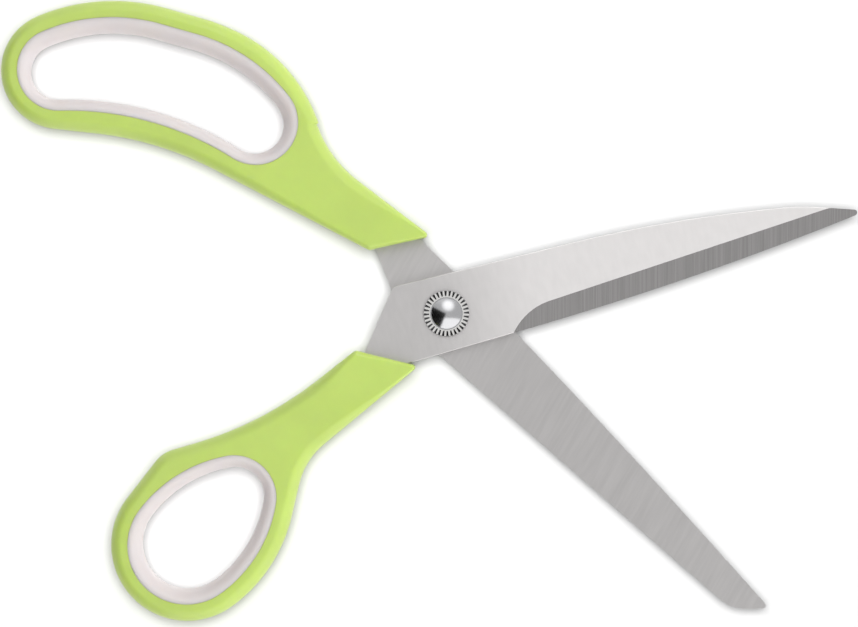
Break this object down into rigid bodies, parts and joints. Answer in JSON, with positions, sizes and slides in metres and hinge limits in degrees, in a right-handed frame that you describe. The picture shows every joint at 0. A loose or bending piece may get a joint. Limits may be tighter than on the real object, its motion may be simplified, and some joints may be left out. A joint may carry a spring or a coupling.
{
  "type": "scissors",
  "caption": "Household scissors with bevelled steel blades on a domed pivot, green plastic handles and pale soft liners in the thumb and finger loops.",
  "frame": {"origin": "on the pivot axis, at the flat rear face of the pivot nut, which lies in one plane with the undersides of the handles", "axes": "+X along the line that halves the opening between the blades, towards their tips; +Z along the pivot axis, from the nut to the domed screw head; +Y to the left of +X, on the front blade's side"},
  "size_m": [0.2345, 0.158, 0.0103],
  "materials": {
    "satin_steel": "satin",
    "ground_steel": "ground across",
    "green_plastic": "smooth moulded, soft gloss",
    "pale_rubber": "matt",
    "bright_chrome": "polished",
    "nickel": "plated"
  },
  "bodies": {
    "rear_half": {"rear_blade": "ground_steel", "finger_handle": "green_plastic", "finger_loop_liner": "pale_rubber", "pivot_screw": "bright_chrome", "toothed_washer": "nickel", "pivot_nut": "nickel"},
    "front_half": {"front_blade": "satin_steel", "thumb_handle": "green_plastic", "thumb_loop_liner": "pale_rubber"}
  },
  "joints": [
    {"name": "blade_pivot", "type": "hinge", "parent": "rear_half", "child": "front_half", "pos_m": [0, 0, 0.005], "axis": [0, 0, 1], "range_deg": [-57, 44]}
  ]
}
